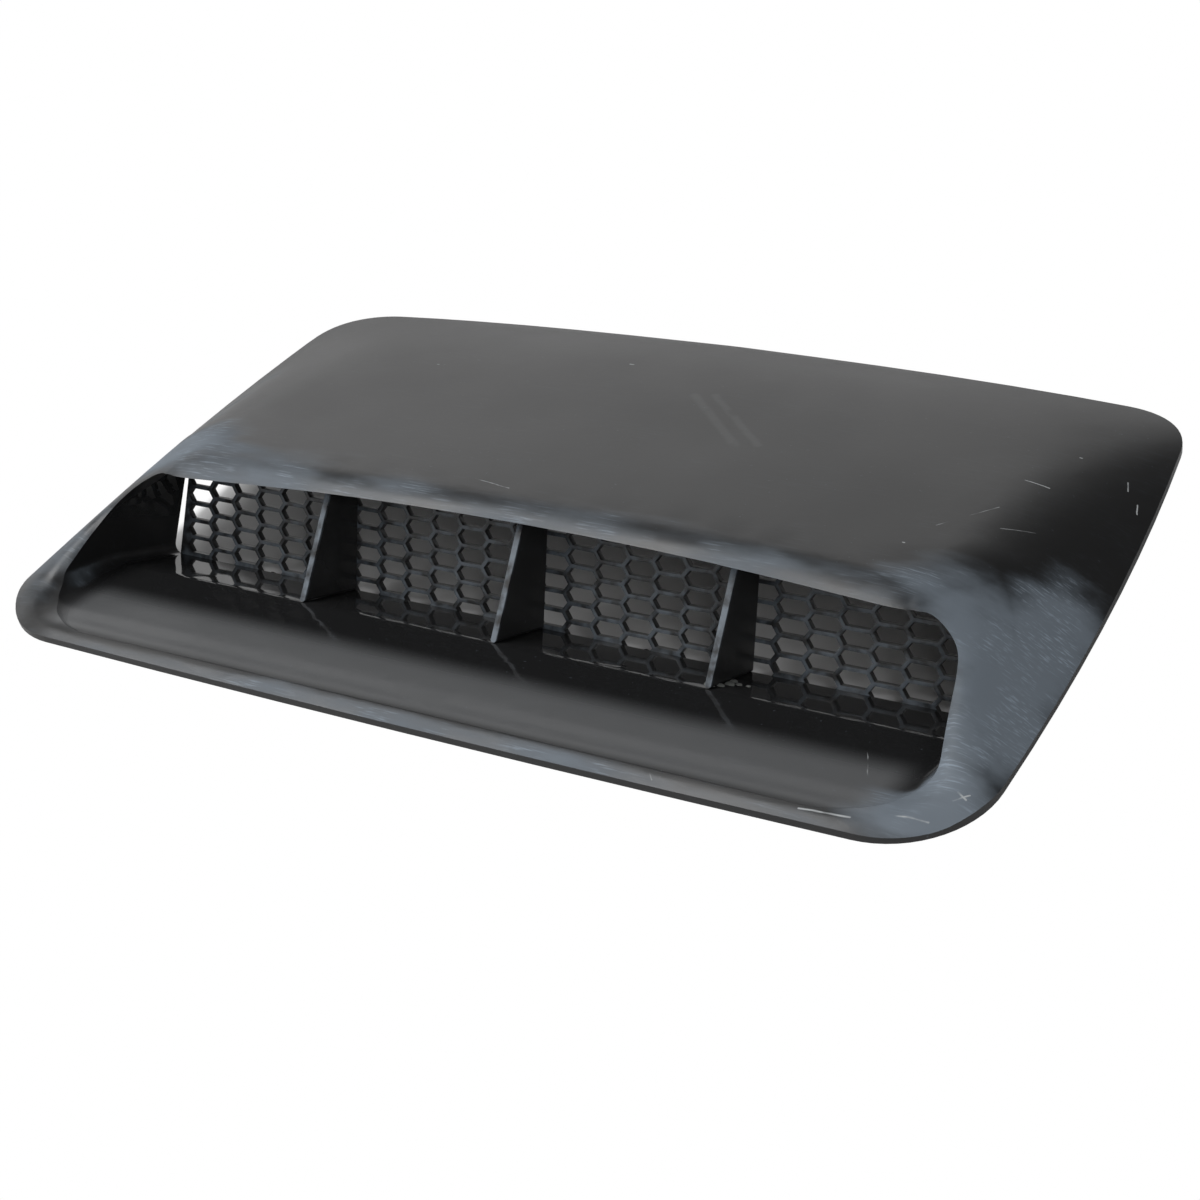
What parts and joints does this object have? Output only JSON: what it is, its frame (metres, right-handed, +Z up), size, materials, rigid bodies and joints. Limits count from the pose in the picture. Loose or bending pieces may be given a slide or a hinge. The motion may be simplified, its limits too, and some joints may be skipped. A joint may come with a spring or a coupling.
{
  "type": "bonnet scoop",
  "caption": "Low wide bonnet scoop with a raked mouth, upright divider fins and a hexagon mesh grille inside.",
  "frame": {"origin": "centre of the four fixing bosses, on the plane where the scoop's edge meets the bonnet", "axes": "+Z up from the bonnet, -Y the way the mouth faces (forward on the car), +X to the right seen from the front of the mouth"},
  "size_m": [0.6546, 0.416, 0.0976],
  "materials": {
    "shell_plastic": "semi-gloss black moulding with hazy scuffs",
    "mesh_plastic": "satin black moulding",
    "fin_plastic": "semi-gloss black moulding"
  },
  "bodies": {
    "root": {"shell": "shell_plastic", "mesh_grille": "mesh_plastic", "fin_left": "fin_plastic", "fin_centre": "fin_plastic", "fin_right": "fin_plastic"}
  },
  "joints": []
}
